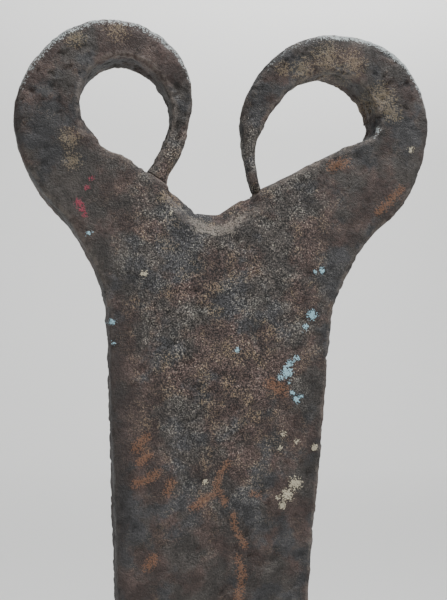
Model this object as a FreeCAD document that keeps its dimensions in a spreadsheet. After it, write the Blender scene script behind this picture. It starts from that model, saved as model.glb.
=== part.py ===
import FreeCAD, Part
import math
import os

import Sketcher

# A forged hydrant wrench, upright, in millimetres.
# The origin is the centre of the nut socket, the axis that the wrench turns about.
# +Z runs up the bar to the two curled horns, +X is to the right of the front face, which looks to -Y.

document = FreeCAD.newDocument("hydrant_wrench")
sheet = document.addObject("Spreadsheet::Sheet", "Sizes")

# Sizes that can be set by themselves.
SIZES = {
    # Flat bar
    "bar_thickness": 10.0,
    "neck_width": 49.8,  # just under the two arms
    "bar_length": 240.5,  # from the butt joint up to the neck
    "blade_width": 41.4,  # where the bar has drawn in below the neck
    "blade_drop": 61.0,  # how far below the neck that is
    "grip_width": 28.0,
    "grip_length": 72.0,
    # Arms: how far the side runs out and up from the neck before it turns over into the arm
    "flare_out": 9.8,
    "flare_rise": 19.2,
    "flare_radius": 45.0,
    "left_arm_radius": 31.0,
    "right_arm_radius": 33.0,
    # Eye centres: their rise over the neck, and how far they lie in from the line of the neck
    "left_eye_inset": 2.4,
    "left_eye_rise": 43.6,
    "right_eye_inset": 0.9,
    "right_eye_rise": 43.4,
    # Notch between the arms
    "left_notch_reach": 16.7,  # from the middle of the left eye to the near end of the floor
    "right_notch_reach": 24.8,  # the same on the right
    "notch_rise": 21.9,
    "notch_bevel": 4.2,  # how far the chisel cut reaches down each face
    "notch_land": 1.6,  # flat left between the two chisel cuts
    # Horns
    "left_tip_thickness": 6.8,
    "right_tip_thickness": 5.0,
    "horn_lean": 37.0,  # degrees from upright of a line across which a horn thins
    # Nut socket: five-sided hole for the hydrant's operating nut
    "nut_point_to_flat": 38.1,
    "nut_clearance": 0.8,
    "socket_wall": 8.5,
    "socket_depth": 28.0,
    "socket_edge": 1.6,
    "tang_sink": 1.0,  # how far the foot of the flare lies inside the ring
    "tang_flare_rise": 12.0,
    "tang_flare_radius": 15.0,
    # Straps and rivets of the butt joint
    "strap_thickness": 5.0,
    "strap_inset": 1.0,  # how far a strap's side lies in from the side of the grip
    "strap_gap": 3.5,  # between the socket's rim and the straps
    "strap_end_margin": 4.0,  # from the last rivet head to the strap's end
    "strap_nose": 6.0,  # how far a strap's round end stands out
    "strap_edge": 0.8,
    "rivet_diameter": 8.0,
    "rivet_clearance": 0.05,
    "rivet_head_overhang": 3.0,
    "rivet_head_height": 3.4,
    "rivet_head_gap": 1.5,
    "rivet_butt_gap": 3.5,  # from the butt joint to the heads beside it
}

# Corners of each arm and horn, measured right and up from the middle of its eye.
LEFT_POINTS = {
    "scarf_out": (-23.5, -4.4),
    "scarf_in": (-9.1, -3.8),
    "cradle": (-4.4, -9.2),
    "tip_in": (5.1, -13.6),
    "tip_out": (10.0, -16.4),
    "tip_heel": (10.0, -13.7),
    "brow": (-18.5, 10.7),
    "crown": (-3.5, 19.2),
    "temple": (10.9, 13.5),
    "cheek": (14.9, 3.9),
    "jaw": (13.3, -7.0),
    "eye_throat": (9.5, -5.2),
    "eye_top": (-0.6, 10.9),
}
RIGHT_POINTS = {
    "scarf_out": (23.7, 2.4),
    "scarf_in": (10.8, 2.6),
    "eye_corner": (7.2, -3.2),
    "cradle": (-8.5, -11.7),
    "tip_in": (-15.4, -15.2),
    "tip_out": (-17.2, -16.2),
    "brow": (21.2, 10.8),
    "temple": (13.0, 18.9),
    "crown": (2.5, 21.0),
    "cheek": (-13.4, 14.9),
    "jaw": (-20.6, 0.6),
    "chin": (-19.8, -7.9),
    "eye_throat": (-16.8, -5.4),
    "eye_side": (-11.5, 5.0),
    "eye_top": (-0.5, 12.0),
}
# Radii of the arcs that run to those corners.
RADII = {
    "left_cradle_radius": 60.0,
    "left_eye_corner_radius": 40.0,
    "left_brow_radius": 24.0,
    "left_crown_radius": 20.0,
    "left_temple_radius": 19.0,
    "left_cheek_radius": 14.0,
    "left_jaw_radius": 70.0,
    "left_heel_radius": 18.0,
    "left_throat_radius": 30.0,
    "left_eye_radius": 12.0,
    "left_eye_back_radius": 10.6,
    "right_shoulder_radius": 120.0,
    "right_eye_corner_radius": 4.5,
    "right_brow_radius": 23.0,
    "right_temple_radius": 17.0,
    "right_crown_radius": 22.0,
    "right_cheek_radius": 28.0,
    "right_chin_radius": 50.0,
    "right_throat_radius": 30.0,
    "right_eye_side_radius": 26.0,
    "right_eye_radius": 14.5,
    "right_eye_back_radius": 11.8,
}


def fill_sheet():
    rows = dict(SIZES)
    rows.update(RADII)
    for side, points in (("left", LEFT_POINTS), ("right", RIGHT_POINTS)):
        for name, (across, up) in points.items():
            rows[side + "_" + name + "_x"] = across
            rows[side + "_" + name + "_z"] = up
    for row, (alias, number) in enumerate(rows.items(), start=1):
        sheet.set("A%d" % row, alias)
        sheet.set("B%d" % row, str(number))
        sheet.setAlias("B%d" % row, alias)
    document.recompute()


# Heights and half widths that follow from the sheet, as expressions.
RIVET_RADIUS = "(Sizes.rivet_diameter / 2)"
HEAD_RADIUS = "(" + RIVET_RADIUS + " + Sizes.rivet_head_overhang)"
NEAR_RIVET = "(" + HEAD_RADIUS + " + Sizes.rivet_butt_gap)"
FAR_RIVET = "(" + NEAR_RIVET + " + 2 * " + HEAD_RADIUS + " + Sizes.rivet_head_gap)"
STRAP_REACH = "(" + FAR_RIVET + " + " + HEAD_RADIUS + " + Sizes.strap_end_margin)"
NUT_RADIUS = "((Sizes.nut_point_to_flat + Sizes.nut_clearance) / (1 + cos(36)))"
SOCKET_RADIUS = "(" + NUT_RADIUS + " + Sizes.socket_wall)"
BUTT = "(" + SOCKET_RADIUS + " + Sizes.strap_gap + " + STRAP_REACH + ")"
STRAP_FOOT = "(" + BUTT + " - " + STRAP_REACH + ")"
STRAP_TOP = "(" + BUTT + " + " + STRAP_REACH + ")"
GRIP_TOP = "(" + BUTT + " + Sizes.grip_length)"
NECK = "(" + BUTT + " + Sizes.bar_length)"
BLADE = "(" + NECK + " - Sizes.blade_drop)"
FLARE_TOP = "(" + NECK + " + Sizes.flare_rise)"
NOTCH_FLOOR = "(" + NECK + " + Sizes.notch_rise)"
HALF_NECK = "(Sizes.neck_width / 2)"
HALF_BLADE = "(Sizes.blade_width / 2)"
HALF_GRIP = "(Sizes.grip_width / 2)"
HALF_FLARE = "(" + HALF_NECK + " + Sizes.flare_out)"
HALF_STRAP = "(" + HALF_GRIP + " - Sizes.strap_inset)"
HALF_BAR_THICKNESS = "(Sizes.bar_thickness / 2)"
STACK = "(Sizes.bar_thickness + 2 * Sizes.strap_thickness)"
LEFT_EYE = ("(Sizes.left_eye_inset - " + HALF_NECK + ")", "(" + NECK + " + Sizes.left_eye_rise)")
RIGHT_EYE = ("(" + HALF_NECK + " - Sizes.right_eye_inset)", "(" + NECK + " + Sizes.right_eye_rise)")
TANG_RIVETS = {
    "tang_rivet_lower": BUTT + " - " + FAR_RIVET,
    "tang_rivet_upper": BUTT + " - " + NEAR_RIVET,
}
BAR_RIVETS = {
    "bar_rivet_lower": BUTT + " + " + NEAR_RIVET,
    "bar_rivet_upper": BUTT + " + " + FAR_RIVET,
}
RIVETS = {**TANG_RIVETS, **BAR_RIVETS}


def left(name):
    return (LEFT_EYE[0] + " + Sizes.left_%s_x" % name, LEFT_EYE[1] + " + Sizes.left_%s_z" % name)


def right(name):
    return (RIGHT_EYE[0] + " + Sizes.right_%s_x" % name, RIGHT_EYE[1] + " + Sizes.right_%s_z" % name)


def value(expression):
    return float(sheet.evalExpression(expression))


def new_body(label):
    body = document.addObject("PartDesign::Body", label)
    body.Label = label
    return body


def new_sketch(body, name, plane):
    sketch = body.newObject("Sketcher::SketchObject", name)
    support = [feature for feature in body.Origin.OriginFeatures if feature.Role == plane][0]
    sketch.AttachmentSupport = [(support, "")]
    sketch.MapMode = "FlatFace"
    return sketch


def bind(sketch, kind, where, expression):
    """Adds one driving dimension and ties it to the sheet."""
    index = sketch.addConstraint(Sketcher.Constraint(kind, *where, value(expression)))
    sketch.setExpression("Constraints[%d]" % index, expression)


def arc_through(start, end, radius, turn):
    """The short arc from start to end; turn 1 runs anticlockwise and -1 clockwise."""
    middle = (start + end) * 0.5
    chord = end - start
    half = chord.Length / 2
    across = FreeCAD.Vector(-chord.y, chord.x, 0).normalize() * turn
    centre = middle + across * math.sqrt(max(radius * radius - half * half, 0.0))
    return Part.Arc(start, middle - across * (radius - (centre - middle).Length), end)


def draw_outline(sketch, corners, arcs):
    """Closes a loop through corners. arcs gives (radius, turn) for the run that ends at a corner."""
    places = [FreeCAD.Vector(value(across), value(up), 0) for across, up in corners]
    edges = []
    for number, place in enumerate(places):
        before = places[number - 1]
        if number in arcs:
            radius, turn = arcs[number]
            edge = sketch.addGeometry(arc_through(before, place, value(radius), turn))
            starts, ends = (1, 2) if turn > 0 else (2, 1)
        else:
            edge = sketch.addGeometry(Part.LineSegment(before, place))
            starts, ends = 1, 2
        edges.append((edge, starts, ends))
    for number, (edge, starts, ends) in enumerate(edges):
        last_edge, _, last_ends = edges[number - 1]
        sketch.addConstraint(Sketcher.Constraint("Coincident", last_edge, last_ends, edge, starts))
    for number, (edge, starts, ends) in enumerate(edges):
        across, up = corners[number]
        bind(sketch, "DistanceX", (-1, 1, edge, ends), across)
        bind(sketch, "DistanceY", (-1, 1, edge, ends), up)
    for number, (radius, turn) in arcs.items():
        bind(sketch, "Radius", (edges[number][0],), radius)


def add_pad(body, name, sketch, length):
    """Pads a sketch by the same amount to both sides of its plane."""
    pad = body.newObject("PartDesign::Pad", name)
    pad.Profile = sketch
    pad.SideType = "Symmetric"
    pad.setExpression("Length", length)
    document.recompute()
    return pad


def cut_through(body, name, sketch, length):
    """Pockets a sketch by the same amount to both sides of its plane, and tests that it cut."""
    before = body.Shape.Volume
    pocket = body.newObject("PartDesign::Pocket", name)
    pocket.Profile = sketch
    pocket.SideType = "Symmetric"
    pocket.setExpression("Length", length)
    document.recompute()
    if body.Shape.Volume >= before:
        raise RuntimeError(name + " cut nothing")
    return pocket


def add_chamfer(body, name, wanted, size):
    """Chamfers the edges of the body that wanted() accepts."""
    before = body.Tip
    edges = [
        "Edge%d" % number
        for number, edge in enumerate(before.Shape.Edges, start=1)
        if wanted(edge)
    ]
    if not edges:
        raise RuntimeError(name + " found no edge")
    chamfer = body.newObject("PartDesign::Chamfer", name)
    chamfer.Base = (before, edges)
    chamfer.setExpression("Size", size)
    volume = body.Shape.Volume
    document.recompute()
    if body.Shape.Volume >= volume:
        raise RuntimeError(name + " cut nothing")
    return chamfer


def middle_of(edge):
    first, last = edge.ParameterRange
    return edge.valueAt((first + last) / 2)


def chisel_wall(body, name, start, end):
    """Bevels a wall of the notch, which runs from start to end, from both faces of the bar."""
    middle = ["((%s) + (%s)) / 2" % ends for ends in zip(start, end)]
    run = [value(last) - value(first) for first, last in zip(start, end)]
    for face_name, side in (("front", -1), ("back", 1)):
        land = "%d * Sizes.notch_land / 2" % side
        face = "%d * %s" % (side, HALF_BAR_THICKNESS)
        beyond = "%d * Sizes.bar_thickness" % side
        low = middle[1] + " - Sizes.notch_bevel"
        high = middle[1] + " + Sizes.notch_bevel"
        wedge = new_sketch(body, "%s_%s_wedge" % (name, face_name), "YZ_Plane")
        wedge.setExpression("AttachmentOffset.Base.z", middle[0])
        corners = [(land, middle[1]), (face, low), (beyond, low), (beyond, high), (land, high)]
        draw_outline(wedge, corners, {})
        before = body.Shape.Volume
        cut = body.newObject("PartDesign::Pocket", "%s_%s_cut" % (name, face_name))
        cut.Profile = wedge
        cut.UseCustomVector = True
        cut.Direction = FreeCAD.Vector(run[0], 0, run[1])
        cut.AlongSketchNormal = True
        cut.SideType = "Symmetric"
        cut.Length = run[0]
        document.recompute()
        if body.Shape.Volume >= before:
            raise RuntimeError(cut.Name + " cut nothing")


def make_bar():
    """Flat bar from the butt joint up to the fork: grip, blade, neck, two arms and the notch."""
    body = new_body("bar")
    outline = new_sketch(body, "bar_outline", "XZ_Plane")
    corners = [
        ("-" + HALF_GRIP, BUTT),
        ("-" + HALF_GRIP, GRIP_TOP),
        ("-" + HALF_BLADE, BLADE),
        ("-" + HALF_NECK, NECK),
        ("-" + HALF_FLARE, FLARE_TOP),
        left("scarf_out"),
        left("scarf_in"),
        left("cradle"),
        left("tip_in"),
        left("tip_out"),
        (LEFT_EYE[0] + " + Sizes.left_notch_reach", NOTCH_FLOOR),
        (RIGHT_EYE[0] + " - Sizes.right_notch_reach", NOTCH_FLOOR),
        right("tip_out"),
        right("tip_in"),
        right("cradle"),
        right("eye_corner"),
        right("scarf_in"),
        right("scarf_out"),
        (HALF_FLARE, FLARE_TOP),
        (HALF_NECK, NECK),
        (HALF_BLADE, BLADE),
        (HALF_GRIP, GRIP_TOP),
        (HALF_GRIP, BUTT),
    ]
    arcs = {
        4: ("Sizes.flare_radius", 1),
        5: ("Sizes.left_arm_radius", -1),
        7: ("Sizes.left_eye_corner_radius", 1),
        8: ("Sizes.left_cradle_radius", -1),
        15: ("Sizes.right_shoulder_radius", -1),
        16: ("Sizes.right_eye_corner_radius", 1),
        18: ("Sizes.right_arm_radius", -1),
        19: ("Sizes.flare_radius", 1),
    }
    draw_outline(outline, corners, arcs)
    add_pad(body, "bar_plate", outline, "Sizes.bar_thickness")
    foot = (LEFT_EYE[0] + " + Sizes.left_notch_reach", NOTCH_FLOOR)
    far_foot = (RIGHT_EYE[0] + " - Sizes.right_notch_reach", NOTCH_FLOOR)
    chisel_wall(body, "notch_left", left("tip_out"), foot)
    chisel_wall(body, "notch_floor", foot, far_foot)
    chisel_wall(body, "notch_right", far_foot, right("tip_out"))
    for rivet in BAR_RIVETS:
        cut_rivet_hole(body, rivet)
    return body


def thin_towards_tip(body, fold, tip, tip_thickness, sideways):
    """Hammers both faces of a horn down to its tip, which lies to the right (1) or left (-1).

    The faces stay parallel up to a line through fold and close in evenly from there to tip. The
    line leans by horn_lean, so the wedge that comes off each face is swept along that line.
    """
    lean = math.radians(value("Sizes.horn_lean"))
    along = FreeCAD.Vector(sideways * math.sin(lean), 0, math.cos(lean))
    sweep = 4 * body.Shape.BoundBox.DiagonalLength
    across = "((%s) - (%s))" % (tip[0], fold[0])
    down = "((%s) - (%s))" % (fold[1], tip[1])
    reach = "(%s + %d * %s * tan(Sizes.horn_lean))" % (across, sideways, down)
    for name, side in (("front", -1), ("back", 1)):
        wedge = new_sketch(body, body.Label + "_" + name + "_wedge", "XY_Plane")
        wedge.setExpression("AttachmentOffset.Base.z", fold[1])
        face = "%d * %s" % (side, HALF_BAR_THICKNESS)
        tip_face = "%d * %s / 2" % (side, tip_thickness)
        corners = [
            (fold[0], face),
            (fold[0] + " + " + reach, tip_face),
            (fold[0] + " + 2 * " + reach, tip_face),
            (fold[0] + " + 2 * " + reach, face),
        ]
        draw_outline(wedge, corners, {})
        before = body.Shape.Volume
        cut = body.newObject("PartDesign::Pocket", body.Label + "_" + name + "_cut")
        cut.Profile = wedge
        cut.UseCustomVector = True
        cut.Direction = along
        cut.SideType = "Symmetric"
        cut.Length = sweep
        document.recompute()
        if body.Shape.Volume >= before:
            raise RuntimeError(cut.Name + " cut nothing")


def make_left_horn():
    """Left arm's drawn end, curled over the eye until its tip meets the shoulder."""
    body = new_body("left_horn")
    outline = new_sketch(body, "left_horn_outline", "XZ_Plane")
    order = "scarf_out brow crown temple cheek jaw tip_heel tip_out tip_in eye_throat eye_top scarf_in"
    arcs = {
        1: ("Sizes.left_brow_radius", -1),
        2: ("Sizes.left_crown_radius", -1),
        3: ("Sizes.left_temple_radius", -1),
        4: ("Sizes.left_cheek_radius", -1),
        5: ("Sizes.left_jaw_radius", -1),
        6: ("Sizes.left_heel_radius", -1),
        9: ("Sizes.left_throat_radius", 1),
        10: ("Sizes.left_eye_radius", 1),
        11: ("Sizes.left_eye_back_radius", 1),
    }
    draw_outline(outline, [left(name) for name in order.split()], arcs)
    add_pad(body, "left_horn_blank", outline, "Sizes.bar_thickness")
    thin_towards_tip(body, left("scarf_in"), left("tip_in"), "Sizes.left_tip_thickness", 1)
    return body


def make_right_horn():
    """Right arm's drawn end, a wider curl than the left one."""
    body = new_body("right_horn")
    outline = new_sketch(body, "right_horn_outline", "XZ_Plane")
    order = "scarf_out brow temple crown cheek jaw chin tip_out tip_in eye_throat eye_side eye_top scarf_in"
    arcs = {
        1: ("Sizes.right_brow_radius", 1),
        2: ("Sizes.right_temple_radius", 1),
        3: ("Sizes.right_crown_radius", 1),
        4: ("Sizes.right_crown_radius", 1),
        5: ("Sizes.right_cheek_radius", 1),
        6: ("Sizes.right_chin_radius", 1),
        7: ("Sizes.right_chin_radius", 1),
        9: ("Sizes.right_throat_radius", -1),
        10: ("Sizes.right_eye_side_radius", -1),
        11: ("Sizes.right_eye_radius", -1),
        12: ("Sizes.right_eye_back_radius", -1),
    }
    draw_outline(outline, [right(name) for name in order.split()], arcs)
    add_pad(body, "right_horn_blank", outline, "Sizes.bar_thickness")
    thin_towards_tip(body, right("scarf_in"), right("tip_in"), "Sizes.right_tip_thickness", -1)
    return body


def make_nut_socket():
    """Thick ring with the five-sided nut hole, and the tang that butts against the bar."""
    body = new_body("nut_socket")
    rim = new_sketch(body, "socket_rim", "XZ_Plane")
    circle = rim.addGeometry(
        Part.Circle(FreeCAD.Vector(0, 0, 0), FreeCAD.Vector(0, 0, 1), value(SOCKET_RADIUS))
    )
    rim.addConstraint(Sketcher.Constraint("Coincident", circle, 3, -1, 1))
    bind(rim, "Radius", (circle,), SOCKET_RADIUS)
    add_pad(body, "socket_ring", rim, "Sizes.socket_depth")
    half_depth = value("Sizes.socket_depth / 2")
    add_chamfer(
        body, "socket_rim_edge", lambda edge: abs(abs(middle_of(edge).y) - half_depth) < 0.01,
        "Sizes.socket_edge",
    )
    tang = new_sketch(body, "tang_outline", "XZ_Plane")
    # The flare springs from inside the ring, 50 degrees round from its side.
    root = "(" + SOCKET_RADIUS + " * sin(50) - Sizes.tang_sink)"
    flare = "(" + SOCKET_RADIUS + " * cos(50))"
    flare_top = "(" + root + " + Sizes.tang_flare_rise)"
    corners = [
        ("-" + flare, root),
        ("-" + HALF_GRIP, flare_top),
        ("-" + HALF_GRIP, BUTT),
        (HALF_GRIP, BUTT),
        (HALF_GRIP, flare_top),
        (flare, root),
    ]
    arcs = {
        1: ("Sizes.tang_flare_radius", 1),
        5: ("Sizes.tang_flare_radius", 1),
    }
    draw_outline(tang, corners, arcs)
    add_pad(body, "socket_tang", tang, "Sizes.bar_thickness")
    nut = new_sketch(body, "nut_hole", "XZ_Plane")
    turns = [math.radians(90 + 72 * number) for number in range(5)]
    radius = value(NUT_RADIUS)
    places = [FreeCAD.Vector(radius * math.cos(turn), radius * math.sin(turn), 0) for turn in turns]
    circle = nut.addGeometry(
        Part.Circle(FreeCAD.Vector(0, 0, 0), FreeCAD.Vector(0, 0, 1), radius), True
    )
    nut.addConstraint(Sketcher.Constraint("Coincident", circle, 3, -1, 1))
    flats = [nut.addGeometry(Part.LineSegment(places[n - 1], places[n])) for n in range(5)]
    for number, flat in enumerate(flats):
        following = flats[(number + 1) % 5]
        nut.addConstraint(Sketcher.Constraint("Coincident", flat, 2, following, 1))
        nut.addConstraint(Sketcher.Constraint("PointOnObject", flat, 2, circle))
        if number:
            nut.addConstraint(Sketcher.Constraint("Equal", flats[0], flat))
    nut.addConstraint(Sketcher.Constraint("PointOnObject", flats[0], 2, -2))
    bind(nut, "Radius", (circle,), NUT_RADIUS)
    cut_through(body, "nut_hole_cut", nut, "Sizes.socket_depth + 2")
    for rivet in TANG_RIVETS:
        cut_rivet_hole(body, rivet)
    return body


def cut_rivet_hole(body, rivet):
    """Drills the hole of one rivet right through, from front to back."""
    hole = new_sketch(body, body.Label + "_" + rivet + "_hole", "XZ_Plane")
    radius = RIVET_RADIUS + " + Sizes.rivet_clearance"
    place = FreeCAD.Vector(0, value(RIVETS[rivet]), 0)
    circle = hole.addGeometry(Part.Circle(place, FreeCAD.Vector(0, 0, 1), value(radius)))
    hole.addConstraint(Sketcher.Constraint("PointOnObject", circle, 3, -2))
    bind(hole, "DistanceY", (-1, 1, circle, 3), RIVETS[rivet])
    bind(hole, "Radius", (circle,), radius)
    cut_through(body, body.Label + "_" + rivet + "_drill", hole, STACK + " + 2")


def make_strap(label, side):
    """One of the two straps that clamp the butt joint, on the front (-1) or the back (1)."""
    body = new_body(label)
    outline = new_sketch(body, label + "_outline", "XZ_Plane")
    nose = "((%s ^ 2 + Sizes.strap_nose ^ 2) / (2 * Sizes.strap_nose))" % HALF_STRAP
    corners = [
        ("-" + HALF_STRAP, STRAP_FOOT + " + Sizes.strap_nose"),
        ("-" + HALF_STRAP, STRAP_TOP + " - Sizes.strap_nose"),
        (HALF_STRAP, STRAP_TOP + " - Sizes.strap_nose"),
        (HALF_STRAP, STRAP_FOOT + " + Sizes.strap_nose"),
    ]
    arcs = {0: (nose, -1), 2: (nose, -1)}
    draw_outline(outline, corners, arcs)
    # The sketch's own normal points to -Y, so a plane moved along it by a plus goes to the front.
    middle = "(%s + Sizes.strap_thickness / 2)" % HALF_BAR_THICKNESS
    outline.setExpression("AttachmentOffset.Base.z", "%d * %s" % (-side, middle))
    add_pad(body, label + "_plate", outline, "Sizes.strap_thickness")
    outer = value(HALF_BAR_THICKNESS + " + Sizes.strap_thickness")
    add_chamfer(
        body, label + "_edge", lambda edge: abs(side * middle_of(edge).y - outer) < 0.01,
        "Sizes.strap_edge",
    )
    for rivet in RIVETS:
        cut_rivet_hole(body, rivet)
    return body


def make_rivet(label):
    """Rivet through both straps and what lies between them, domed at both ends."""
    body = new_body(label)
    profile = new_sketch(body, label + "_profile", "XY_Plane")
    half = STACK + " / 2"
    top = half + " + Sizes.rivet_head_height"
    dome = "((%s ^ 2 + Sizes.rivet_head_height ^ 2) / (2 * Sizes.rivet_head_height))" % HEAD_RADIUS
    corners = [
        ("0", "-(" + top + ")"),
        (HEAD_RADIUS, "-(" + half + ")"),
        (RIVET_RADIUS, "-(" + half + ")"),
        (RIVET_RADIUS, half),
        (HEAD_RADIUS, half),
        ("0", top),
    ]
    draw_outline(profile, corners, {1: (dome, 1), 5: (dome, 1)})
    turned = body.newObject("PartDesign::Revolution", label + "_turned")
    turned.Profile = profile
    turned.ReferenceAxis = (profile, ["V_Axis"])
    turned.Angle = 360
    body.setExpression("Placement.Base.z", RIVETS[label])
    document.recompute()
    return body


def write_parts(bodies):
    document.recompute()
    for item in document.Objects:
        if "Invalid" in item.State or "Error" in item.State:
            raise RuntimeError(item.Name + " failed: " + ", ".join(item.State))
    for body in bodies:
        if body.Shape.isNull() or not body.Shape.isValid():
            raise RuntimeError(body.Label + " has no valid shape")
    os.makedirs("parts", exist_ok=True)
    for body in bodies:
        body.Shape.exportStep(os.path.join("parts", body.Label + ".step"))
        print(body.Label, len(body.Shape.Solids), "solid,", round(body.Shape.Volume), "mm3")


fill_sheet()
pieces = [make_bar(), make_left_horn(), make_right_horn(), make_nut_socket()]
pieces += [make_strap("front_strap", -1), make_strap("back_strap", 1)]
pieces += [make_rivet(label) for label in RIVETS]
write_parts(pieces)
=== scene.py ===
"""Looks of a hand-forged hydrant wrench: hammered iron skins with patina, pitting and rust.

Each CAD piece gets a skin of its own. A skin starts from a welded copy of the piece, has its edges
worn round, is remeshed evenly and then takes hammer marks, pits and dents. Marks such as paint flecks
and rust streaks are painted on the skin as attributes, which the materials read.
"""
import math

import bmesh
import bpy
from mathutils import Matrix, Vector, noise
from mathutils.kdtree import KDTree


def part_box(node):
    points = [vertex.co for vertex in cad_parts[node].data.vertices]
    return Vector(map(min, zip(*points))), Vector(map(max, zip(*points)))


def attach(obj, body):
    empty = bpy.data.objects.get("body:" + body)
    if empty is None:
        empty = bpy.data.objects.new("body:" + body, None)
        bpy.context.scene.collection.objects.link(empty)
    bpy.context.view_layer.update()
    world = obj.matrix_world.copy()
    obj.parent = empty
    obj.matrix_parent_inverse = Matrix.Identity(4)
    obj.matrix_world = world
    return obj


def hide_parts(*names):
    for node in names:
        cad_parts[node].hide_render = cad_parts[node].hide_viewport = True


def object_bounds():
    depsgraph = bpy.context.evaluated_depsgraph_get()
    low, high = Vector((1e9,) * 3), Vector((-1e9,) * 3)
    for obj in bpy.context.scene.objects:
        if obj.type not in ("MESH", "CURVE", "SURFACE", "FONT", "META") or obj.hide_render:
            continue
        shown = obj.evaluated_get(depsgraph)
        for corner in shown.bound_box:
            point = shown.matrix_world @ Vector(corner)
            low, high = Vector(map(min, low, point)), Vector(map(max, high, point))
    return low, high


MM = 0.001
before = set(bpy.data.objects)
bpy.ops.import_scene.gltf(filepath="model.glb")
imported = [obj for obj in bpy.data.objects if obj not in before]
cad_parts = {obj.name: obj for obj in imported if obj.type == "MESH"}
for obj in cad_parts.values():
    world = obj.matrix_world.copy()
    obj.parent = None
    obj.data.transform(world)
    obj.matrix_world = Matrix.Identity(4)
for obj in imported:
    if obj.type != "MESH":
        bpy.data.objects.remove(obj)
cad_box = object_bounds()

# The middle of the head, level with the feet of both horns: marks are placed from here, in mm.
HEAD = Vector((0, 0, (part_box("left_horn")[0].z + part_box("right_horn")[0].z) / 2))
EYE_ACROSS, EYE_UP = 23, 16  # about where the middles of both eyes lie, to either side and up, in mm

MERGE_DISTANCE = 0.01 * MM
SHARP_EDGE = math.radians(50)
EDGE_STEP = 0.5 * MM  # between the points that stand for a sharp edge

# The scarfs are the welds between the arms and the horns.
LOWEST_SCARF, INNERMOST_SCARF = 10 * MM, 30 * MM  # both lie further up and out from the head's middle
SCARF_REACH = 9 * MM  # neither reaches further than this to each side of its own middle
SCARF_OVERLAP = 2.6 * MM  # how far a skin runs past its weld before it is cut there
CUT_WIDTH, CUT_HEIGHT = 11 * MM, 7 * MM  # how far from a weld's middle the cut takes hold of a skin

HIGHEST_TIP, OUTERMOST_TIP = 4 * MM, 22 * MM  # both horns' tips lie nearer the head's middle than this
TIP_SINK = 0.7 * MM  # how far a horn's tip is bedded in the shoulder

WIDEST_WEAR = 6 * MM  # nothing further from a sharp edge than this is worn
EVENINGS = 2.1  # rounds of evening out for wear one voxel wide; they grow with the width squared


# ---- Marks: (across, up, radius) in mm from the middle of the head ----

PALE_BLUE_PAINT = [
    (20.0, -27.0, 0.95), (18.6, -29.7, 0.6), (18.2, -31.0, 0.3), (16.7, -36.6, 0.6), (15.2, -37.8, 0.7),
    (14.6, -39.7, 1.1), (13.0, -41.0, 0.6), (15.1, -41.9, 0.35), (15.8, -44.2, 0.5), (16.9, -45.6, 0.75),
    (18.0, -44.9, 0.35), (22.1, -17.1, 0.6), (20.4, -17.5, 0.45), (3.2, -35.2, 0.5), (-24.0, -30.0, 0.6),
    (-23.6, -34.4, 0.45), (-29.5, -11.5, 0.5),
]
RED_PAINT = [
    (-31.8, -5.2, 0.85), (-31.1, -6.5, 0.65), (-30.4, -7.7, 0.5), (-30.2, -1.9, 0.55), (-29.4, 0.2, 0.5),
]
# Cream flecks; the spot at 42.7 across, 11.5 up, near the outer edge of the right horn, is a painted glint.
CREAM_SPOTS_AND_GLINT = [
    (-17.6, -19.6, 0.7), (17.0, -63.9, 1.25), (15.2, -66.3, 1.1), (14.2, -68.6, 0.7), (13.1, -67.0, 0.5),
    (42.7, 11.5, 0.7), (-3.0, -63.5, 0.6), (14.0, -53.2, 0.6), (17.2, -54.7, 0.55), (13.4, -56.2, 0.5),
    (21.3, -56.0, 0.7), (-12.2, -6.2, 0.45),
]
TAN_PATCHES = [
    (12.4, 27.7, 1.3), (16.6, 27.9, 2.1), (35.4, 23.2, 2.4), (37.4, 20.3, 1.8), (38.8, 19.0, 1.2),
    (22.4, 31.0, 2.6), (28.4, 30.4, 2.2), (-34.1, 8.4, 1.6), (-33.5, 3.6, 1.4), (-25.0, 33.0, 2.0),
    (-34.0, 30.0, 1.6), (-14.0, -3.0, 1.0),
]
RUST_STREAKS = [  # runs of points, with the half-width of the streak
    ([(-13.2, -61.5), (-15.0, -62.8), (-17.8, -63.9)], 0.8),
    ([(-10.3, -63.5), (-10.9, -65.6)], 0.8),
    ([(-16.0, -54.2), (-18.0, -56.4)], 0.9),
    ([(-15.6, -57.8), (-17.0, -59.3)], 0.9),
    ([(1.6, -59.6), (0.0, -62.0), (-0.6, -64.6), (1.4, -67.8)], 0.7),
    ([(-0.8, -65.8), (-3.4, -67.4), (-5.4, -69.0)], 0.75),
    ([(3.4, -70.5), (3.9, -73.6), (6.2, -77.0)], 0.6),
    ([(4.6, -80.0), (5.8, -83.4), (5.0, -88.0), (6.4, -93.0)], 0.8),
    ([(-13.5, -79.5), (-14.8, -81.0)], 0.9),
    ([(11.2, -42.6), (13.6, -43.6)], 1.3),
    ([(40.4, 2.2), (37.6, -0.8), (35.2, -3.2)], 0.8),
    ([(24.0, 6.4), (27.2, 7.8)], 1.0),
    ([(7.4, -66.0), (8.8, -66.4)], 0.6),
]
NOTCH_SCALE = [  # light scale on the chisel cut under the notch
    ([(-6.2, -9.0), (1.0, -9.2)], 1.1),
    ([(-7.6, -7.0), (-5.0, -8.4)], 0.7),
    ([(0.6, -8.0), (3.4, -6.2)], 0.6),
]
TIP_SEAMS = [  # creases where the horns' tips were hammered down on the shoulders, grooved and darkened with painted shade
    ([(-18.1, 2.9), (-14.8, -0.1), (-12.4, -2.0), (-10.3, -3.7)], 0.4),
    ([(4.8, -1.4), (6.4, -0.5)], 0.4),
]
DEEP_PITS = [(6.1, -75.1, 1.0), (-3.6, -63.4, 0.5), (-11.6, 21.6, 0.9), (24.6, 8.4, 0.7)]
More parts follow.
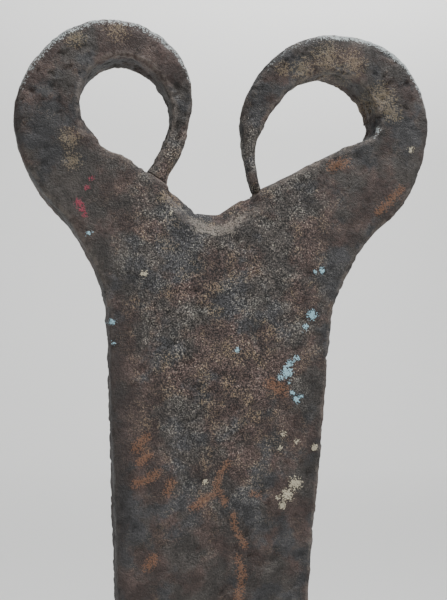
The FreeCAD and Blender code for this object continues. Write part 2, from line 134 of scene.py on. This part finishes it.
EDGE_NICKS = [(-14.4, 30.6, 1.1), (-40.0, 24.0, 0.9), (28.6, 33.0, 1.0), (-19.6, 3.6, 1.1), (6.6, 0.6, 1.1)]
TIPS = [HEAD + Vector(place) * MM for place in ((-15.2, 0, 1.6), (7.8, 0, 0.3))]  # the horns touch down here

RIVET_NODES = ("tang_rivet_lower", "tang_rivet_upper", "bar_rivet_lower", "bar_rivet_upper")
RIVETS = [((low.x + high.x) / 2, (low.z + high.z) / 2) for low, high in map(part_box, RIVET_NODES)]
RIVET_HEAD_RADIUS = (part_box(RIVET_NODES[0])[1].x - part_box(RIVET_NODES[0])[0].x) / 2 / MM

# The marks that a skin carries as attributes, for the iron to read.
PAINTED = ("edge", "grain", "crust_and_highlight", "rust", "tan", "scale_and_highlight", "blue", "red", "cream_and_glint", "shade")


# ---- Small helpers ----

def smooth_step(low, high, value):
    """0 at low, 1 at high and a soft rise between them."""
    share = min(max((value - low) / (high - low), 0.0), 1.0)
    return share * share * (3 - 2 * share)


def head_place(point):
    """Where a point of the front or back lies, across and up from the middle of the head, in mm."""
    return (point.x - HEAD.x) / MM, (point.z - HEAD.z) / MM


def from_eye(across, up):
    """How far a place on the head lies from the middle of the eye on its side, in mm."""
    return math.hypot(abs(across) - EYE_ACROSS, up - EYE_UP)


def nearness(place, marks):
    """1 in the middle of the nearest round mark, 0.5 at its rim and 0 at twice its radius."""
    across, up = place
    best = 0.0
    for mark_across, mark_up, radius in marks:
        reach = math.hypot(across - mark_across, up - mark_up)
        best = max(best, 1 - reach / (2 * radius))
    return best


def streak_nearness(place, streaks):
    """The same for streaks, which are runs of straight strokes."""
    point = Vector(place)
    best = 0.0
    for corners, half_width in streaks:
        for start, end in zip(corners, corners[1:]):
            start, end = Vector(start), Vector(end)
            along = end - start
            share = min(max((point - start).dot(along) / along.length_squared, 0.0), 1.0)
            reach = (point - start - along * share).length
            best = max(best, 1 - reach / (2 * half_width))
    return best


# ---- Skins ----

def welded(node):
    """A copy of a CAD piece with its triangles merged back into whole faces."""
    bm = bmesh.new()
    bm.from_mesh(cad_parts[node].data)
    bmesh.ops.remove_doubles(bm, verts=bm.verts, dist=MERGE_DISTANCE)
    bmesh.ops.dissolve_limit(bm, angle_limit=math.radians(0.4), verts=bm.verts, edges=bm.edges)
    return bm


def scarf_faces(bm, facing):
    """The flat weld faces of a horn (facing -1, down) or of the bar's two arms (facing 1, up)."""
    return [f for f in bm.faces
            if f.normal.z * facing > 0.99
            and f.calc_center_median().z > HEAD.z + LOWEST_SCARF
            and abs(f.calc_center_median().x) > INNERMOST_SCARF]


def run_past_scarfs(bm, facing):
    """Lengthens a piece through its weld faces and returns the planes that it is cut at later."""
    planes = []
    for face in scarf_faces(bm, facing):
        normal = face.normal.copy()
        centre = face.calc_center_median()
        planes.append((centre, normal))
        grown = bmesh.ops.extrude_face_region(bm, geom=[face])["geom"]
        ends = [g for g in grown if isinstance(g, bmesh.types.BMVert)]
        bmesh.ops.translate(bm, verts=ends, vec=normal * SCARF_OVERLAP)
        bmesh.ops.delete(bm, geom=[face], context="FACES_ONLY")
    return planes


def tip_faces(bm):
    """The end faces of a horn's tip, which lie against the bar's shoulder."""
    return [f for f in bm.faces
            if f.normal.z < -0.7 and abs(f.normal.y) < 0.2
            and f.calc_center_median().z < HEAD.z + HIGHEST_TIP
            and abs(f.calc_center_median().x) < OUTERMOST_TIP]


def bed_tips(bm):
    """Sinks a horn's tip a little into the shoulder."""
    for face in tip_faces(bm):
        bmesh.ops.translate(bm, verts=face.verts, vec=face.normal * TIP_SINK)


def past_a_scarf(point, planes, margin):
    """Whether a point lies in what a piece was lengthened by, beyond a margin."""
    return any((point - centre).dot(normal) > margin and abs(point.x - centre.x) < SCARF_REACH
               for centre, normal in planes)


def worn_edges(bm, planes):
    """The ends of each sharp edge that use has rounded, which the corners through the plate aren't."""
    found = []
    for edge in bm.edges:
        if len(edge.link_faces) != 2 or edge.calc_face_angle() < SHARP_EDGE:
            continue
        start, end = (vertex.co.copy() for vertex in edge.verts)
        through_plate = abs((end - start).normalized().y) >= 0.5
        if not through_plate and not past_a_scarf((start + end) / 2, planes, 0.7 * SCARF_OVERLAP):
            found.append((start, end))
    return found


def edge_tree(edges):
    """A search tree of points along sharp edges, for how near a point of a skin is to one."""
    points = []
    for start, end in edges:
        steps = max(1, round((end - start).length / EDGE_STEP))
        points += [start.lerp(end, k / steps) for k in range(steps + 1)]
    tree = KDTree(len(points))
    for number, point in enumerate(points):
        tree.insert(point, number)
    tree.balance()
    return tree


def head_wear(point, normal):
    """How wide use and the hammer have rounded the edges of the head here, in mm."""
    across, up = head_place(point)
    outside = smooth_step(14, 17, from_eye(across, up))
    crown = smooth_step(-4, 8, up)
    under_eye = (1 - outside) * smooth_step(8, 4, up) * smooth_step(0.2, 0.6, normal.z)
    return 0.5 + outside * (0.4 + 1.7 * crown) + under_eye * (0.8 if across > 0 else 0.3)


def remeshed(bm, name, voxel):
    """The shape as an even, closed skin of small quads."""
    mesh = bpy.data.meshes.new(name)
    bm.to_mesh(mesh)
    bm.free()
    piece = bpy.data.objects.new(name, mesh)
    bpy.context.scene.collection.objects.link(piece)
    remesh = piece.modifiers.new("even skin", "REMESH")
    remesh.mode = "VOXEL"
    remesh.voxel_size = voxel
    bpy.context.view_layer.update()
    skin = bpy.data.meshes.new_from_object(piece.evaluated_get(bpy.context.evaluated_depsgraph_get()))
    piece.modifiers.clear()
    piece.data = skin
    return piece


def even_out(bm, verts):
    """Moves each vertex halfway to the middle of its neighbours."""
    bmesh.ops.smooth_vert(bm, verts=verts, factor=0.5, use_axis_x=True, use_axis_y=True, use_axis_z=True)


def wear_edges(bm, tree, voxel, width_at):
    """Rounds the edges: the wider an edge is worn, the more often the skin beside it is evened out."""
    rounds = {}
    for vertex in bm.verts:
        reach = tree.find(vertex.co)[2]
        if reach < WIDEST_WEAR:
            width = width_at(vertex.co, vertex.normal) * MM
            if reach < 2.5 * width + 2 * voxel:
                rounds[vertex] = round(EVENINGS * (width / voxel) ** 2)
    even_out(bm, bm.verts)
    step = 4
    for done in range(0, max(rounds.values()), step):
        left = [vertex for vertex, count in rounds.items() if count > done]
        for _ in range(step):
            even_out(bm, left)


def wave(point, size, seed):
    """Soft noise from about -0.5 to 0.5 whose bumps are size mm across."""
    return 0.5 * noise.noise(point / (size * MM) + Vector((seed, 1.7 * seed, -seed)))


def rough_wave(point, size, octaves, seed):
    """The same with finer bumps on top."""
    shifted = point / (size * MM) + Vector((seed, 1.7 * seed, -seed))
    return 0.5 * noise.fractal(shifted, 0.9, 2.1, octaves)


def hammering(point, edge_nearness):
    """How deep the smith's work and rust lie below the plain shape here, in mm; proud where negative."""
    dents = 0.34 * wave(point, 10, 3)
    ripple = 0.34 * rough_wave(point, 3.4, 4, 11)
    pitting = 0.0
    pit_field = rough_wave(point, 1.7, 3, 23)
    if pit_field > 0.10:
        pitting = 0.42 * smooth_step(0.10, 0.40, pit_field) * smooth_step(-0.2, 0.1, wave(point, 14, 31))
    nibble = edge_nearness * (0.5 * rough_wave(point, 4.2, 4, 41) + 0.30 * rough_wave(point, 1.3, 2, 47))
    return dents + ripple + pitting + nibble


def keep_largest(bm):
    """Removes every loose scrap, so that one closed shell is left."""
    unseen = set(bm.verts)
    shells = []
    while unseen:
        shell = [unseen.pop()]
        for vertex in shell:
            for edge in vertex.link_edges:
                other = edge.other_vert(vertex)
                if other in unseen:
                    unseen.remove(other)
                    shell.append(other)
        shells.append(shell)
    shells.sort(key=len)
    scraps = [vertex for shell in shells[:-1] for vertex in shell]
    bmesh.ops.delete(bm, geom=scraps, context="VERTS")


def forge(piece, tree, planes, roughness, voxel, width_at, in_head):
    """Wears, hammers, pits and paints a skin, then cuts it clean at its welds."""
    bm = bmesh.new()
    bm.from_mesh(piece.data)
    keep_largest(bm)
    bm.normal_update()
    wear_edges(bm, tree, voxel, width_at)
    bm.normal_update()
    layers = {name: bm.verts.layers.float.new(name) for name in PAINTED}
    moves = []
    for vertex in bm.verts:
        point, normal = vertex.co, vertex.normal
        edge = 1 - smooth_step(0.3 * MM, 3.0 * MM, tree.find(point)[2])
        depth = roughness * hammering(point, edge)
        vertex[layers["edge"]] = edge
        if not in_head:
            paint_lower_end(vertex, layers)
        else:
            depth = depth * away_from_tips(point) + paint_head(vertex, layers, edge)
        moves.append(normal * (-depth * MM))
    low, high = cad_box
    for vertex, move in zip(bm.verts, moves):
        moved = vertex.co + move
        vertex.co = [min(max(moved[axis], low[axis]), high[axis]) for axis in range(3)]
    for face in bm.faces:
        face.smooth = True
    for centre, normal in planes:
        cut_at(bm, centre, normal)
    bm.to_mesh(piece.data)
    bm.free()


def away_from_tips(point):
    """0 where a horn's tip lies on the shoulder, so both keep their plain shape there, and 1 elsewhere."""
    reach = min((Vector((point.x, 0, point.z)) - tip).length for tip in TIPS)
    return smooth_step(1.0 * MM, 4.0 * MM, reach)


def cut_at(bm, centre, normal):
    """Cuts off what runs past a weld and closes the cut with a flat face."""
    near = [v for v in bm.verts
            if abs(v.co.x - centre.x) < CUT_WIDTH and abs(v.co.z - centre.z) < CUT_HEIGHT]
    chosen = set(near)
    edges = [e for e in bm.edges if e.verts[0] in chosen and e.verts[1] in chosen]
    faces = [f for f in bm.faces if all(v in chosen for v in f.verts)]
    bmesh.ops.bisect_plane(bm, geom=near + edges + faces, dist=1e-7,
                           plane_co=centre, plane_no=normal, clear_outer=True)
    rim = [e for e in bm.edges if e.is_boundary]
    bmesh.ops.holes_fill(bm, edges=rim, sides=0)
    for edge in rim:
        edge.smooth = False
    bmesh.ops.triangulate(bm, faces=[f for f in bm.faces if len(f.verts) > 4])


def paint_weathering(vertex, layers, place, edge):
    """Light grain about the notch and down the bar, crust on the crowns, and scale under eyes and notch;
    where these lie on up-facing edges they are partly painted highlights.
    """
    point, normal = vertex.co, vertex.normal
    across, up = place
    from_notch = math.hypot(across, min(up + 4, 0) * 0.35 + max(up + 4, 0))
    vertex[layers["grain"]] = 1 - 0.85 * smooth_step(14, 30, from_notch) - 0.5 * smooth_step(-110, -150, up)
    rim = smooth_step(10, 13, from_eye(across, up))
    # Partly painted highlight: light crust is laid on up-facing edges of the crowns, where the light from
    # above falls.
    on_crown = smooth_step(4, 18, up) * smooth_step(0.02, 0.4, normal.z) * rim
    weathered = 0.85 if across < 0 else 0.25 + smooth_step(16, 26, across)
    on_front = 0.4 + 0.6 * smooth_step(3 * MM, -3 * MM, point.y)
    vertex[layers["crust_and_highlight"]] = on_crown * edge * weathered * on_front
    # Partly painted highlight: light scale on up-facing edges under the eyes, where the light from above
    # falls.
    under_eye = smooth_step(0.3, 0.8, normal.z) * edge * smooth_step(-6, 0, up) * (1 - rim)
    vertex[layers["scale_and_highlight"]] = max(0.6 * under_eye, streak_nearness(place, NOTCH_SCALE))


def paint_head(vertex, layers, edge):
    """Sets the marks of the upper end on a vertex and returns how much deeper its dents make it."""
    place = head_place(vertex.co)
    across, up = place
    paint_weathering(vertex, layers, place, edge)
    # Painted shade: the creases at the horns' tips and the bar's left margin, whose rounded edge faces away
    # from the light, are darkened here.
    seam = streak_nearness(place, TIP_SEAMS)
    margin = smooth_step(-15, -40, up) * smooth_step(5.0, 1.0, abs(across + side_reach(up)))
    vertex[layers["shade"]] = max(smooth_step(0.2, 0.9, seam), margin)
    on_back = vertex.normal.y > 0.3
    if on_back:
        return 0.0
    vertex[layers["blue"]] = nearness(place, PALE_BLUE_PAINT)
    vertex[layers["red"]] = nearness(place, RED_PAINT)
    vertex[layers["cream_and_glint"]] = nearness(place, CREAM_SPOTS_AND_GLINT)
    vertex[layers["tan"]] = nearness(place, TAN_PATCHES)
    vertex[layers["rust"]] = streak_nearness(place, RUST_STREAKS)
    pits = 0.7 * smooth_step(0.3, 1.0, nearness(place, DEEP_PITS))
    nicks = 0.9 * edge * smooth_step(0.2, 0.9, nearness(place, EDGE_NICKS))
    return pits + nicks + 0.45 * smooth_step(0.3, 0.9, seam) + 0.25 * margin


def paint_lower_end(vertex, layers):
    """Painted shade at the rims of the rivet heads with rust around them, and flats of the nut hole worn
    bright.
    """
    point, normal = vertex.co, vertex.normal
    vertex[layers["grain"]] = 0.5
    from_rivet = min(math.hypot(point.x - x, point.z - z) for x, z in RIVETS) / MM
    if abs(normal.y) > 0.5 and abs(point.y) < 11 * MM:
        # Painted shade: a dark ring where each rivet head meets its strap; the wider ring after it is rust.
        vertex[layers["shade"]] = smooth_step(2.0, 0.4, abs(from_rivet - RIVET_HEAD_RADIUS))
        vertex[layers["rust"]] = 0.8 * smooth_step(3.4, 0.6, abs(from_rivet - RIVET_HEAD_RADIUS - 1.5))
    from_axis = math.hypot(point.x, point.z)
    into_hole = -(normal.x * point.x + normal.z * point.z) / max(from_axis, MM)
    if from_axis < 24 * MM:
        vertex[layers["scale_and_highlight"]] = smooth_step(0.3, 0.8, into_hole)


def side_reach(up):
    """About how far the bar's side lies from its middle at a height, in mm."""
    return 24.4 + 0.045 * (up + 30)


# ---- Materials ----

IRON_SPOTS = {  # noise in the iron: the size of its spots in mm, detail, roughness and seed
    "hue": (11, 7, 0.62, 6), "cool": (9, 7, 0.62, 5), "dark": (6, 6, 0.65, 9), "patches": (5, 7, 0.68, 4),
    "middling": (1.5, 5, 0.7, 8), "fine": (0.62, 3, 0.75, 2), "speck": (0.30, 1, 0.6, 3),
}
# Among these are the colours of painted glints on the grain and of painted shade in creases, margins and
# round the rivet heads.
IRON_TINTS = {
    "brown": (0.064, 0.055, 0.049), "red": (0.090, 0.047, 0.039), "grey": (0.051, 0.050, 0.052),
    "grey grain": (0.25, 0.24, 0.21), "golden grain": (0.30, 0.22, 0.13), "painted_glint": (0.50, 0.45, 0.36),
    "pore": (0.012, 0.010, 0.010), "worn edge": (0.22, 0.185, 0.16), "painted_shade": (0.022, 0.018, 0.017),
}
DEPOSITS = (  # what lies on the iron, partly painted highlights in crust and scale: its mark, how far noise breaks it up, its colour and strength
    ("rust", 6.0, (0.23, 0.105, 0.05), 0.55),
    ("tan", 6.0, (0.30, 0.235, 0.145), 0.42),
    ("scale_and_highlight", 4.5, (0.27, 0.24, 0.20), 0.45),
    ("crust_and_highlight", 5.0, (0.40, 0.44, 0.44), 0.85),
)
# The cream colour also carries that one painted glint near the outer edge of the right horn.
PAINTS = (("cream_and_glint", (0.50, 0.45, 0.33)), ("red", (0.26, 0.035, 0.06)), ("blue", (0.36, 0.60, 0.70)))


def new_tree(name):
    """A new material, with its node tree and its surface shader."""
    material = bpy.data.materials.new(name)
    material.use_nodes = True
    tree = material.node_tree
    shader = tree.nodes["Principled BSDF"]
    return material, tree, shader


def noise_at(tree, size, detail, rough, seed):
    """Noise whose spots are size mm across, in the piece's own coordinates."""
    coordinates = tree.nodes.new("ShaderNodeTexCoord")
    mapping = tree.nodes.new("ShaderNodeMapping")
    mapping.inputs["Location"].default_value = (seed, 0.7 * seed, 1.3 * seed)
    texture = tree.nodes.new("ShaderNodeTexNoise")
    texture.inputs["Scale"].default_value = 1 / (size * MM)
    texture.inputs["Detail"].default_value = detail
    texture.inputs["Roughness"].default_value = rough
    tree.links.new(coordinates.outputs["Object"], mapping.inputs["Vector"])
    tree.links.new(mapping.outputs["Vector"], texture.inputs["Vector"])
    return texture.outputs[0]


def scaled(tree, colour, amount):
    """A colour made lighter or darker by a value."""
    node = tree.nodes.new("ShaderNodeVectorMath")
    node.operation = "SCALE"
    tree.links.new(colour, node.inputs[0])
    tree.links.new(amount, node.inputs["Scale"])
    return node.outputs[0]


def attribute(tree, name):
    """What is painted on the skin under this name."""
    node = tree.nodes.new("ShaderNodeAttribute")
    node.attribute_name = name
    return node.outputs["Fac"]


def calculate(tree, operation, first, second=None, third=None):
    """One step of arithmetic on values of the tree or plain numbers."""
    node = tree.nodes.new("ShaderNodeMath")
    node.operation = operation
    for socket, value in zip(node.inputs, (first, second, third)):
        if value is None:
            continue
        if isinstance(value, (int, float)):
            socket.default_value = value
        else:
            tree.links.new(value, socket)
    return node.outputs[0]


def stepped(tree, value, low, high, to_low=0.0, to_high=1.0):
    """Maps low..high of a value to to_low..to_high, softly and clamped."""
    node = tree.nodes.new("ShaderNodeMapRange")
    node.interpolation_type = "SMOOTHSTEP"
    tree.links.new(value, node.inputs["Value"])
    for name, number in (("From Min", low), ("From Max", high), ("To Min", to_low), ("To Max", to_high)):
        node.inputs[name].default_value = number
    return node.outputs["Result"]


def blend(tree, amount, below, above):
    """One colour over another, where amount is 1."""
    node = tree.nodes.new("ShaderNodeMix")
    node.data_type = "RGBA"
    for socket, value in ((node.inputs[0], amount), (node.inputs[6], below), (node.inputs[7], above)):
        if isinstance(value, tuple):
            socket.default_value = (*value, 1)
        elif isinstance(value, (int, float)):
            socket.default_value = value
        else:
            tree.links.new(value, socket)
    return node.outputs[2]


def broken(tree, field, breakup, low, high, amount):
    """A painted mark with a ragged rim: the field is disturbed by noise and then stepped."""
    ragged = calculate(tree, "MULTIPLY_ADD", breakup, amount, -amount / 2)
    inside = stepped(tree, calculate(tree, "ADD", field, ragged), low, high)
    return calculate(tree, "MULTIPLY", inside, stepped(tree, field, 0.04, 0.25))


def patina(tree, spots, in_bar, tint, red_rust):
    """The dark ground of the iron, mottled from grey to red-brown, and lighter where the grain shows."""
    colour = blend(tree, stepped(tree, spots["hue"], 0.43, 0.56, 0, red_rust), tint["brown"], tint["red"])
    colour = blend(tree, stepped(tree, spots["cool"], 0.50, 0.60), colour, tint["grey"])
    colour = scaled(tree, colour, stepped(tree, spots["dark"], 0.37, 0.58, 1.26, 0.62))
    colour = scaled(tree, colour, calculate(tree, "MULTIPLY_ADD", in_bar, 0.23, 0.73))
    for grains, even, uneven in (("fine", 0.12, 0.50), ("speck", 0.08, 0.88)):
        swing = stepped(tree, spots[grains], 0.28, 0.72, -1, 1)
        reach = calculate(tree, "MULTIPLY_ADD", in_bar, uneven, even)
        colour = scaled(tree, colour, calculate(tree, "MULTIPLY_ADD", swing, reach, 1.0))
    return colour


def with_grain(tree, spots, in_bar, tint, grain, colour):
    """Light worn grain, grey or golden, with painted glints as bright specks, and dark pores."""
    worn = calculate(tree, "MULTIPLY", stepped(tree, spots["patches"], 0.46, 0.62), in_bar)
    light_grain = calculate(tree, "MULTIPLY", stepped(tree, spots["speck"], 0.48, 0.68), worn)
    light_grain = calculate(tree, "MULTIPLY", light_grain, 0.95 * grain)
    golden = blend(tree, stepped(tree, spots["hue"], 0.44, 0.54), tint["grey grain"], tint["golden grain"])
    colour = blend(tree, light_grain, colour, golden)
    # Painted glints: bright specks on the grain stand in for light caught on the rims of pits.
    painted_glint = calculate(tree, "MULTIPLY", stepped(tree, spots["speck"], 0.66, 0.72),
                        stepped(tree, spots["dark"], 0.42, 0.54, 1, 0))
    painted_glint = calculate(tree, "MULTIPLY", painted_glint, stepped(tree, in_bar, 0.1, 1.0))
    colour = blend(tree, calculate(tree, "MULTIPLY", painted_glint, 0.8 * grain), colour, tint["painted_glint"])
    return blend(tree, stepped(tree, spots["fine"], 0.39, 0.30, 0, 0.85), colour, tint["pore"])


def with_wear(tree, spots, tint, colour):
    """Barer iron along the worn edges, and painted shade in seams, along margins and round the rivet heads.
    """
    edge_wear = calculate(tree, "MULTIPLY", stepped(tree, attribute(tree, "edge"), 0.6, 1.0, 0, 0.4),
                          stepped(tree, spots["middling"], 0.4, 0.6))
    colour = blend(tree, edge_wear, colour, tint["worn edge"])
    # Painted shade: the shade attribute darkens creases, the bar's left margin and the rims of the rivet
    # heads.
    shade = calculate(tree, "MULTIPLY", attribute(tree, "shade"), 0.6)
    return blend(tree, shade, colour, tint["painted_shade"])


def with_marks(tree, spots, colour):
    """Rust, scale, crust and flecks of paint where they are painted on the skin; crust and scale are partly
    painted highlights, and one cream spot is a painted glint.
    """
    half_speck = calculate(tree, "MULTIPLY", spots["speck"], 0.5)
    crumbs = calculate(tree, "MULTIPLY_ADD", spots["fine"], 0.5, half_speck)
    for mark, amount, tint, strength in DEPOSITS:
        patch = broken(tree, attribute(tree, mark), crumbs, 0.42, 0.80, amount)
        colour = blend(tree, calculate(tree, "MULTIPLY", patch, strength), colour, tint)
    for mark, tint in PAINTS:
        spot = broken(tree, attribute(tree, mark), crumbs, 0.46, 0.62, 3.0)
        colour = blend(tree, calculate(tree, "MULTIPLY", spot, 0.9), colour, tint)
    return colour


def add_relief(tree, spots, shader):
    """Pores and grain too fine for the mesh, as bump."""
    relief = calculate(tree, "MULTIPLY", spots["fine"], 0.6)
    relief = calculate(tree, "MULTIPLY_ADD", spots["speck"], 0.4, relief)
    relief = calculate(tree, "MULTIPLY_ADD", spots["middling"], 0.9, relief)
    bump = tree.nodes.new("ShaderNodeBump")
    bump.inputs["Strength"].default_value = 1.0
    bump.inputs["Distance"].default_value = 0.6 * MM
    tree.links.new(relief, bump.inputs["Height"])
    tree.links.new(bump.outputs["Normal"], shader.inputs["Normal"])


def aged_iron(name, lightness=1.0, grain=1.0, red_rust=0.5):
    """Dark brown-grey forged iron: mottled patina, light worn grain, pits, rust, crust and paint, with
    painted glints, highlights and shade.
    """
    material, tree, shader = new_tree(name)
    spots = {part: noise_at(tree, *form) for part, form in IRON_SPOTS.items()}
    tint = {part: tuple(lightness * channel for channel in rgb) for part, rgb in IRON_TINTS.items()}
    in_bar = attribute(tree, "grain")
    colour = patina(tree, spots, in_bar, tint, red_rust)
    colour = with_grain(tree, spots, in_bar, tint, grain, colour)
    colour = with_wear(tree, spots, tint, colour)
    colour = with_marks(tree, spots, colour)
    tree.links.new(colour, shader.inputs["Base Color"])
    tree.links.new(stepped(tree, spots["patches"], 0.3, 0.7, 0.80, 0.55), shader.inputs["Roughness"])
    shader.inputs["Metallic"].default_value = 0.15
    add_relief(tree, spots, shader)
    return material


def pale_matt(name, tone):
    """A plain dull surface for what isn't part of the wrench."""
    material, _, shader = new_tree(name)
    shader.inputs["Base Color"].default_value = (*tone, 1)
    shader.inputs["Roughness"].default_value = 0.9
    return material


# ---- Pieces ----

def add_piece(node, skin_name, material, voxel, roughness, wear=None, facing=0, tree=None):
    """Makes the skin of one CAD piece and ties it to the frame."""
    voxel *= 1
    bm = welded(node)
    planes = run_past_scarfs(bm, facing) if facing else []
    if facing < 0:
        bed_tips(bm)
    in_head = tree is not None
    if not in_head:
        tree = edge_tree(worn_edges(bm, planes))
    piece = remeshed(bm, skin_name, voxel)
    width_at = head_wear if wear is None else lambda point, normal: wear
    forge(piece, tree, planes, roughness, voxel, width_at, in_head)
    piece.data.materials.clear()
    piece.data.materials.append(material)
    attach(piece, "root")
    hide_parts(node)


def head_edges():
    """Search tree of the sharp edges of the bar and both horns together."""
    found = []
    for node, facing in (("bar", 1), ("left_horn", -1), ("right_horn", -1)):
        bm = welded(node)
        planes = run_past_scarfs(bm, facing)
        found += worn_edges(bm, planes)
        bm.free()
    return edge_tree(found)


def add_forging():
    """The bar and its two horns, which are welded into one forging."""
    iron = aged_iron("forged iron")
    tree = head_edges()
    add_piece("bar", "forged_bar", iron, 0.57 * MM, 1.0, facing=1, tree=tree)
    for horn in ("left_horn", "right_horn"):
        add_piece(horn, "forged_" + horn, iron, 0.32 * MM, 1.0, facing=-1, tree=tree)


def add_lower_end():
    """The nut socket with its tang, and the straps and rivets of the butt joint."""
    socket_iron = aged_iron("socket iron", 0.95, 0.7, 0.4)
    add_piece("nut_socket", "forged_nut_socket", socket_iron, 0.45 * MM, 0.8, 0.5)
    strap_iron = aged_iron("strap iron", 1.1, 0.8, 0.8)
    for side in ("front_strap", "back_strap"):
        add_piece(side, "hammered_" + side, strap_iron, 0.4 * MM, 0.8, 0.3)
    rivet_iron = aged_iron("rivet iron", 1.45, 0.6, 0.6)
    for rivet in RIVET_NODES:
        add_piece(rivet, "hammered_" + rivet, rivet_iron, 0.3 * MM, 0.35, 0.2)


# ---- Studio ----

def add_stage():
    """A pale floor that sweeps up into a pale wall, well behind the wrench."""
    ground = cad_box[0].z
    half_width, front, back = 5.0, -3.0, 2.2
    bend, wall_height = 1.2, 3.0
    bm = bmesh.new()
    front_line = bm.edges.new([bm.verts.new((x, front, ground)) for x in (-half_width, half_width)])
    floor = bmesh.ops.extrude_edge_only(bm, edges=[front_line])["geom"]
    back_corners = [g for g in floor if isinstance(g, bmesh.types.BMVert)]
    bmesh.ops.translate(bm, verts=back_corners, vec=(0, back - front, 0))
    back_line = [g for g in floor if isinstance(g, bmesh.types.BMEdge)
                 and all(v in back_corners for v in g.verts)]
    swept = bmesh.ops.spin(bm, geom=back_corners + back_line, cent=(0, back, ground + bend),
                           axis=(1, 0, 0), angle=math.pi / 2, steps=24)
    bend_top = [g for g in swept["geom_last"] if isinstance(g, bmesh.types.BMEdge)]
    wall = bmesh.ops.extrude_edge_only(bm, edges=bend_top)["geom"]
    wall_top = [g for g in wall if isinstance(g, bmesh.types.BMVert)]
    bmesh.ops.translate(bm, verts=wall_top, vec=(0, 0, wall_height))
    bmesh.ops.recalc_face_normals(bm, faces=bm.faces)
    mesh = bpy.data.meshes.new("studio_sweep")
    bm.to_mesh(mesh)
    bm.free()
    mesh.shade_smooth()
    sweep = bpy.data.objects.new("studio_sweep", mesh)
    bpy.context.scene.collection.objects.link(sweep)
    mesh.materials.append(pale_matt("pale paper", (0.8, 0.8, 0.785)))


def add_soft_box(name, place, aim, size, power):
    """A rectangular lamp at a place, turned to face its aim."""
    light = bpy.data.lights.new(name, "AREA")
    light.shape = "RECTANGLE"
    light.size, light.size_y = size
    light.energy = power
    lamp = bpy.data.objects.new(name, light)
    bpy.context.scene.collection.objects.link(lamp)
    lamp.location = place
    lamp.rotation_euler = (Vector(aim) - Vector(place)).to_track_quat("-Z", "Y").to_euler()


def add_lights():
    """Soft light from all round, a large lamp over the head and a long one along the wall."""
    world = bpy.data.worlds.new("soft room")
    world.use_nodes = True
    background = world.node_tree.nodes["Background"]
    background.inputs["Color"].default_value = (0.95, 0.97, 1.0, 1)
    background.inputs["Strength"].default_value = 0.44
    bpy.context.scene.world = world
    add_soft_box("overhead_soft_box", (0.25, -0.30, HEAD.z + 1.1), HEAD, (1.3, 1.0), 34)
    add_soft_box("wall_wash", (0.9, 2.2, 2.6), (0.7, 3.4, 1.7), (3.0, 0.6), 75)


def add_camera():
    """A camera close in front of the upper end, a little to its left and a little below it."""
    swing, rise, roll = math.radians(-12), math.radians(-3), math.radians(1.6)
    target = HEAD + Vector((0.95, 0, -24.2)) * MM
    distance = 200
    back = Vector((math.sin(swing) * math.cos(rise), -math.cos(swing) * math.cos(rise), math.sin(rise)))
    right = Vector((0, 0, 1)).cross(back).normalized()
    up = back.cross(right)
    turned_right = right * math.cos(roll) + up * math.sin(roll)
    turned_up = up * math.cos(roll) - right * math.sin(roll)
    data = bpy.data.cameras.new("camera")
    data.lens = 54
    data.clip_start = 0.01
    camera = bpy.data.objects.new("camera", data)
    bpy.context.scene.collection.objects.link(camera)
    turn = Matrix((turned_right, turned_up, back)).transposed()
    camera.matrix_world = Matrix.Translation(target + back * distance * MM) @ turn.to_4x4()
    bpy.context.scene.camera = camera


add_camera()
add_stage()
add_lights()
add_forging()
add_lower_end()
